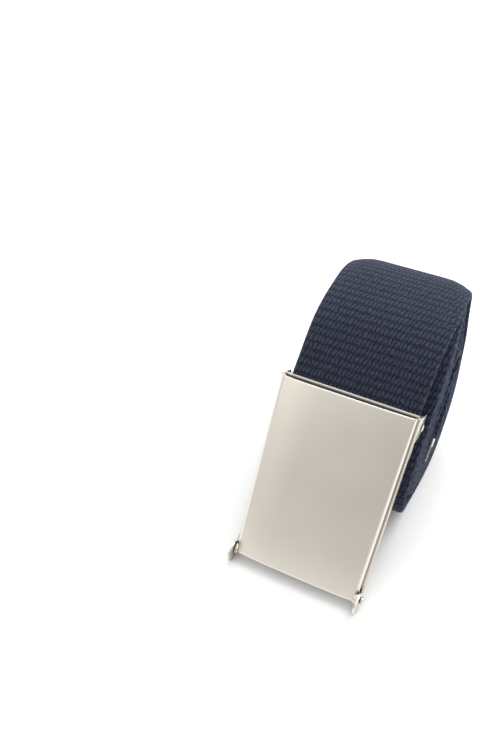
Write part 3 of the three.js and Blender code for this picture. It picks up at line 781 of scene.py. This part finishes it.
def hinge_lug(bm, s, side):
    """A ring on the end of a turned edge, round the hinge's pin."""
    inner = bmesh.ops.create_circle(bm, cap_ends=False, radius=s.pin_hole * MM, segments=LUG_STEPS)["verts"]
    hole = list({e for v in inner for e in v.link_edges})
    wide = bmesh.ops.extrude_edge_only(bm, edges=hole)["geom"]
    outer = [g for g in wide if isinstance(g, bmesh.types.BMVert)]
    bmesh.ops.scale(bm, verts=outer, vec=[s.lug_radius / s.pin_hole] * 2 + [1])
    disc = [g for g in wide if isinstance(g, bmesh.types.BMFace)]
    grown = bmesh.ops.extrude_face_region(bm, geom=disc)["geom"]
    far = [g for g in grown if isinstance(g, bmesh.types.BMVert)]
    bmesh.ops.translate(bm, verts=far, vec=(0, 0, (s.sheet + 2 * LUG_PROUD) * MM))
    place = Matrix.Translation(Vector((side * (s.cover_width / 2 + LUG_PROUD), 0, HINGE_DEPTH)) * MM)
    place = place @ Matrix.Rotation(-side * math.pi / 2, 4, "Y")
    bmesh.ops.transform(bm, verts=list({*inner, *outer, *far}), matrix=place)


def wear_channel(bm, s):
    """Lowers the channel's upper rim and straightens the flare of its walls' upper corners."""
    to_world = buckle_to_world()
    bmesh.ops.transform(bm, verts=bm.verts, matrix=to_world.inverted())
    rim = [v for v in bm.verts if v.co.y > (COVER_FOOT + s.cover_length) * MM]
    bmesh.ops.translate(bm, verts=rim, vec=(0, -s.rim_drop * MM, 0))
    wall = (s.cover_width / 2 + WALL_REACH) * MM
    for v in bm.verts:
        if v.co.y > CLAMP_PIN[0] * MM and abs(v.co.x) > wall:
            v.co.x = math.copysign(wall + (abs(v.co.x) - wall) * s.flare, v.co.x)
    bmesh.ops.transform(bm, verts=bm.verts, matrix=to_world)


def rivet_outline(reach):
    """Half of the rivet's outline, as radius and distance from its middle, with its end rolled outward."""
    outline = [(0, reach - RIVET_DEPTH), (RIVET_BORE, reach - RIVET_DEPTH), (RIVET_BORE, reach - RIVET_CURL)]
    for k in range(CURL_STEPS + 1):
        around = math.pi - 1.5 * math.pi * k / CURL_STEPS
        widening = (RIVET_RADIUS - RIVET_BORE - RIVET_CURL) * k / CURL_STEPS
        outline.append((RIVET_BORE + RIVET_CURL + RIVET_CURL * math.cos(around) + widening,
                        reach - RIVET_CURL + RIVET_CURL * math.sin(around)))
    outline.append((RIVET_RADIUS, reach - 2 * RIVET_CURL))
    return outline


def add_rivet(s):
    """Adds the clamp's pin: a tube whose ends are rolled outward over the walls."""
    low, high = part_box("clamp_pin")
    half = rivet_outline((high.x - low.x) / 2 / MM - (SOLID_REACH - s.rivet_reach))
    outline = half + [(r, -x) for r, x in reversed(half)]
    bm = bmesh.new()
    verts, edges = chain(bm, [(x, 0, r) for r, x in outline])
    bmesh.ops.spin(bm, geom=verts + edges, axis=(1, 0, 0), cent=(0, 0, 0), steps=SPIN_STEPS,
                   angle=2 * math.pi, use_merge=True)
    bmesh.ops.remove_doubles(bm, verts=bm.verts, dist=MERGE * MM)
    bmesh.ops.recalc_face_normals(bm, faces=bm.faces)
    bmesh.ops.translate(bm, verts=bm.verts, vec=(low + high) / 2)
    add_piece(bm, "clamp_rivet", satin_nickel(), "belt", "clamp_pin")


def tip_outline(s, web, grip):
    """The tip's middle line, along the web past its end and off its middle: two sides and a bead."""
    half = [(-s.tip_grip, grip), (-NECK, grip), (-WAIST, grip + WAIST_SWELL)]
    for k in range(BEAD_STEPS + 1):
        around = math.radians(BEAD_ARC * (1 - k / BEAD_STEPS))
        half.append((web.tail_inset + s.bead * math.cos(around), s.bead * math.sin(around)))
    return half + [(t, -n) for t, n in reversed(half[:-1])]


def tip_tab(bm, middle, turn, grip):
    """A rounded tab folded over a selvedge."""
    thickness, long, wider = TAB
    tab = bmesh.ops.create_cube(bm, size=1.0)["verts"]
    bmesh.ops.scale(bm, verts=tab, vec=Vector((thickness, long, 2 * grip + wider)) * MM)
    edges = list({e for v in tab for e in v.link_edges})
    rounded = bmesh.ops.bevel(bm, geom=edges, offset=TAB_ROUNDING * MM, offset_type="OFFSET", segments=3,
                              profile=0.5, affect="EDGES", material=-1)["verts"]
    bmesh.ops.transform(bm, verts=list(set(rounded)), matrix=Matrix.Translation(middle * MM) @ turn)


class BELT_OT_web(bpy.types.Operator):
    """Adds the rolled webbing"""
    bl_idname = "belt.web"
    bl_label = "Add webbing"

    def execute(self, context):
        web = in_mm(context.scene.belt_web)
        stations = web_stations(web)
        cotton = named_material("navy_cotton_webbing", woven_cotton, web)
        piece = add_piece(web_strip(web, stations), "webbing", cotton, "belt", "web",
                          WEB_SMOOTH_ANGLE)
        return {"FINISHED"}


class BELT_OT_tip(bpy.types.Operator):
    """Adds the folded tip on the tail"""
    bl_idname = "belt.tip"
    bl_label = "Add tail tip"

    def execute(self, context):
        s = in_mm(context.scene.belt_buckle)
        web = in_mm(context.scene.belt_web)
        stations = web_stations(web)
        end = stations[-1][1]
        way = (end - stations[-STATIONS_PER_RIB][1]).normalized()
        out = Vector((0, -way.z, way.y))
        grip = web.thickness / 2 + TIP_CLEARANCE + s.tip_sheet / 2
        half_width = web.width / 2 + s.overhang
        left = end - Vector((half_width, 0, 0))
        bm = bmesh.new()
        _, edges = chain(bm, [left + way * t + out * n for t, n in tip_outline(s, web, grip)])
        sweep(bm, edges, [(2 * half_width, 0, 0)])
        bmesh.ops.recalc_face_normals(bm, faces=bm.faces)
        bmesh.ops.solidify(bm, geom=bm.faces[:], thickness=s.tip_sheet * MM)
        turn = Matrix((Vector((1, 0, 0)), way, out)).transposed().to_4x4()
        for side in (1, -1):
            middle = end - way * (s.tip_grip - TAB_PLACE) + Vector((side * (half_width - TAB_SINK), 0, 0))
            tip_tab(bm, middle, turn, grip)
        bmesh.ops.recalc_face_normals(bm, faces=bm.faces)
        bmesh.ops.transform(bm, verts=bm.verts, matrix=buckle_to_world())
        bright = named_material("bright_nickel_plate", plated_nickel, s.tip_colour, **BRIGHT)
        add_piece(bm, "folded_tip", bright, "belt", "tail_tip")
        return {"FINISHED"}


class BELT_OT_base(bpy.types.Operator):
    """Adds the buckle's channel with its ears and lobes"""
    bl_idname = "belt.base"
    bl_label = "Add base"

    def execute(self, context):
        s = in_mm(context.scene.belt_buckle)
        rim = COVER_FOOT + s.cover_length + RIM_RISE - s.rim_drop
        # The channel's nickel has painted shade inside, under its rim.
        nickel = named_material("satin_nickel_channel", plated_nickel, s.plate_colour, rim=rim, **SATIN)
        bm = merged_solid("buckle_base")
        wear_channel(bm, s)
        dress(bm, BASE_ROUNDING)
        add_piece(bm, "channel_base", nickel, "belt", "buckle_base")
        return {"FINISHED"}


class BELT_OT_cover(bpy.types.Operator):
    """Adds the flip cover with its turned edges and hinge lugs"""
    bl_idname = "belt.cover"
    bl_label = "Add cover"

    def execute(self, context):
        s = in_mm(context.scene.belt_buckle)
        bm = bmesh.new()
        cover_shell(bm, s)
        for side in (1, -1):
            hinge_lug(bm, s, side)
        bmesh.ops.recalc_face_normals(bm, faces=bm.faces)
        bmesh.ops.transform(bm, verts=bm.verts, matrix=buckle_to_world())
        add_piece(bm, "flip_cover", satin_nickel(), "cover", "cover")
        return {"FINISHED"}


class BELT_OT_pins(bpy.types.Operator):
    """Adds the hinge pins and the clamp's rivet"""
    bl_idname = "belt.pins"
    bl_label = "Add pins"

    def execute(self, context):
        for node in ("hinge_pin_left", "hinge_pin_right"):
            add_dressed(node, node + "_turned", "belt", PIN_ROUNDING)
        add_rivet(in_mm(context.scene.belt_buckle))
        return {"FINISHED"}


class BELT_OT_inside(bpy.types.Operator):
    """Adds the clamp plate and the toothed grip bar"""
    bl_idname = "belt.inside"
    bl_label = "Add clamp plate and grip bar"

    def execute(self, context):
        add_dressed("clamp_plate", "clamp_plate_rolled", "belt", PLATE_ROUNDING)
        add_dressed("grip_bar", "grip_bar_toothed", "cover", TOOTH_ROUNDING)
        return {"FINISHED"}


def add_camera(s):
    """Adds the camera where the photograph was taken from, with its lens axis below the middle."""
    lens = bpy.data.cameras.new("photo_lens")
    lens.sensor_width = SENSOR
    lens.lens = s.focal_pixels / PHOTO_HEIGHT * SENSOR
    lens.shift_y = s.axis_drop / PHOTO_HEIGHT
    lens.clip_start = NEAR_CLIP
    camera = bpy.data.objects.new("photo_camera", lens)
    look = Matrix.Rotation(s.azimuth, 4, "Z") @ Matrix.Rotation(math.pi / 2 - s.pitch, 4, "X")
    camera.matrix_world = Matrix.Translation(s.eye) @ look @ Matrix.Rotation(s.roll, 4, "Z")
    bpy.context.scene.collection.objects.link(camera)
    bpy.context.scene.camera = camera


def add_floor(s):
    """Adds a wide sheet of pale paper."""
    bm = bmesh.new()
    bmesh.ops.create_grid(bm, x_segments=1, y_segments=1, size=FLOOR_HALF)
    floor = mesh_object(bm, "floor", named_material("matt_studio_paper", pale_paper, s.floor))


def add_softboxes():
    """Adds the two soft lights, which face the belt."""
    for box in SOFTBOXES:
        light = bpy.data.lights.new(box["name"], "AREA")
        light.shape = "SQUARE"
        light.size = box["size"]
        light.energy = box["power"]
        lamp = bpy.data.objects.new(box["name"], light)
        lamp.location = box["place"]
        lamp.rotation_euler = (-Vector(box["place"])).to_track_quat("-Z", "Y").to_euler()
        bpy.context.scene.collection.objects.link(lamp)


def add_studio(s):
    """Adds the light from all round: the ceiling is lit, and the far walls are dimmer."""
    world = bpy.data.worlds.new("studio")
    world.use_nodes = True
    tree = world.node_tree
    tree.nodes.clear()
    way = add_node(tree, "ShaderNodeTexCoord").outputs["Generated"]
    up = add_node(tree, "ShaderNodeSeparateXYZ", {0: way}).outputs["Z"]
    strength = add_node(tree, "ShaderNodeMapRange", {
        "Value": up, "From Min": CEILING_RISE[0], "From Max": CEILING_RISE[1], "To Min": s.wall_strength,
        "To Max": s.ceiling_strength}, interpolation_type="SMOOTHSTEP")
    sky = add_node(tree, "ShaderNodeBackground", {"Color": s.sky, "Strength": strength.outputs[0]})
    add_node(tree, "ShaderNodeOutputWorld", {0: sky.outputs[0]})
    bpy.context.scene.world = world


class BELT_OT_stage(bpy.types.Operator):
    """Adds the camera, the floor and the studio light"""
    bl_idname = "belt.stage"
    bl_label = "Add stage"

    def execute(self, context):
        s = context.scene.belt_stage
        add_camera(s)
        add_floor(s)
        add_softboxes()
        add_studio(s)
        context.scene.view_settings.view_transform = "Standard"
        context.scene.view_settings.look = "None"
        return {"FINISHED"}


SETTINGS = {"belt_web": WebSettings, "belt_buckle": BuckleSettings, "belt_stage": StageSettings}
OPERATORS = (BELT_OT_stage, BELT_OT_web, BELT_OT_tip, BELT_OT_base, BELT_OT_cover, BELT_OT_pins,
             BELT_OT_inside)


class BELT_PT_panel(bpy.types.Panel):
    """Lists the belt's sizes, colours and pieces"""
    bl_idname = "BELT_PT_panel"
    bl_label = "Web belt"
    bl_space_type = "VIEW_3D"
    bl_region_type = "UI"
    bl_category = "Web belt"

    def draw(self, context):
        for name, kind in SETTINGS.items():
            box = self.layout.box()
            for key in kind.__annotations__:
                box.prop(getattr(context.scene, name), key)
        for operator in OPERATORS:
            self.layout.operator(operator.bl_idname)


CLASSES = (*SETTINGS.values(), *OPERATORS, BELT_PT_panel)


def register():
    """Registers the classes and puts the settings on the scene."""
    for cls in CLASSES:
        bpy.utils.register_class(cls)
    for name, kind in SETTINGS.items():
        setattr(bpy.types.Scene, name, bpy.props.PointerProperty(type=kind))


def unregister():
    """Takes the settings off the scene and unregisters the classes."""
    for name in SETTINGS:
        delattr(bpy.types.Scene, name)
    for cls in reversed(CLASSES):
        bpy.utils.unregister_class(cls)


def main():
    """Makes the stage and every piece."""
    register()
    bpy.ops.belt.stage()
    bpy.ops.belt.web()
    bpy.ops.belt.tip()
    bpy.ops.belt.base()
    bpy.ops.belt.cover()
    bpy.ops.belt.pins()
    bpy.ops.belt.inside()


if __name__ == "__main__":
    main()
